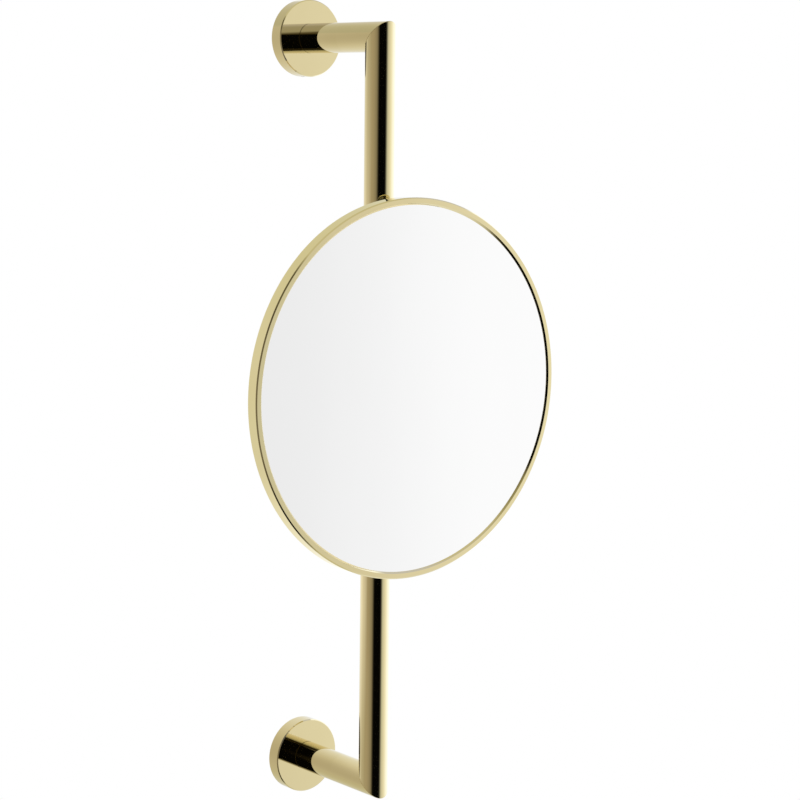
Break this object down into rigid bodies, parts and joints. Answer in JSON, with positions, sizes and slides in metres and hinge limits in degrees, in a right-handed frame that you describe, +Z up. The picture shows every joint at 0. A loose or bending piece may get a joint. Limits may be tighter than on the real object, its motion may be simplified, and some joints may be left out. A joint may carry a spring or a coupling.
{
  "type": "makeup mirror",
  "caption": "Round makeup mirror on a polished brass wall rail with mitred corners; the head slides up and down the rail, swivels around it and tilts.",
  "frame": {"origin": "on the wall plane, midway between the two wall flanges' centres", "axes": "+Z up along the rail, +Y into the wall, +X to the right as a person facing the mirror sees it"},
  "size_m": [0.2, 0.0971, 0.4412],
  "materials": {
    "polished_brass": "mirror polished, pale",
    "turned_brass": "turned, not polished",
    "zinc_steel": "zinc plated",
    "fastener_steel": "stainless",
    "spring_steel": "oiled",
    "acetal": "natural white",
    "foam": "closed cell foam",
    "silvered_glass": "silvered behind"
  },
  "bodies": {
    "frame": {"upper_wall_plate": "zinc_steel", "upper_flange": "polished_brass", "upper_grub_screw": "fastener_steel", "upper_arm": "polished_brass", "upper_arm_plug": "turned_brass", "upper_arm_bolt": "fastener_steel", "upper_corner_key": "turned_brass", "lower_wall_plate": "zinc_steel", "lower_flange": "polished_brass", "lower_grub_screw": "fastener_steel", "lower_arm": "polished_brass", "lower_arm_plug": "turned_brass", "lower_arm_bolt": "fastener_steel", "lower_corner_key": "turned_brass", "rail": "polished_brass"},
    "carriage": {"upper_bush": "acetal", "lower_bush": "acetal"},
    "slider": {"slider_sleeve": "polished_brass", "friction_pad": "acetal", "disc_springs": "spring_steel", "pressure_screw": "fastener_steel", "friction_washers": "acetal"},
    "head": {"hinge_bracket": "polished_brass", "bracket_screws": "fastener_steel", "hinge_bolt": "fastener_steel", "hinge_nut": "fastener_steel", "stiffener_plate": "zinc_steel", "back_pan": "polished_brass", "foam_pad": "foam", "mirror_glass": "silvered_glass", "mirror_rim": "polished_brass"}
  },
  "joints": [
    {"name": "height_slide", "type": "slide", "parent": "frame", "child": "carriage", "axis": [0, 0, 1], "range_m": [-0.1878, 0.1522]},
    {"name": "head_swivel", "type": "hinge", "parent": "carriage", "child": "slider", "pos_m": [0, -0.0678, 0.0178], "axis": [0, 0, 1], "range_deg": [-45, 45]},
    {"name": "head_tilt", "type": "hinge", "parent": "slider", "child": "head", "pos_m": [0, -0.0838, 0.0178], "axis": [1, 0, 0], "range_deg": [-7, 7]}
  ]
}
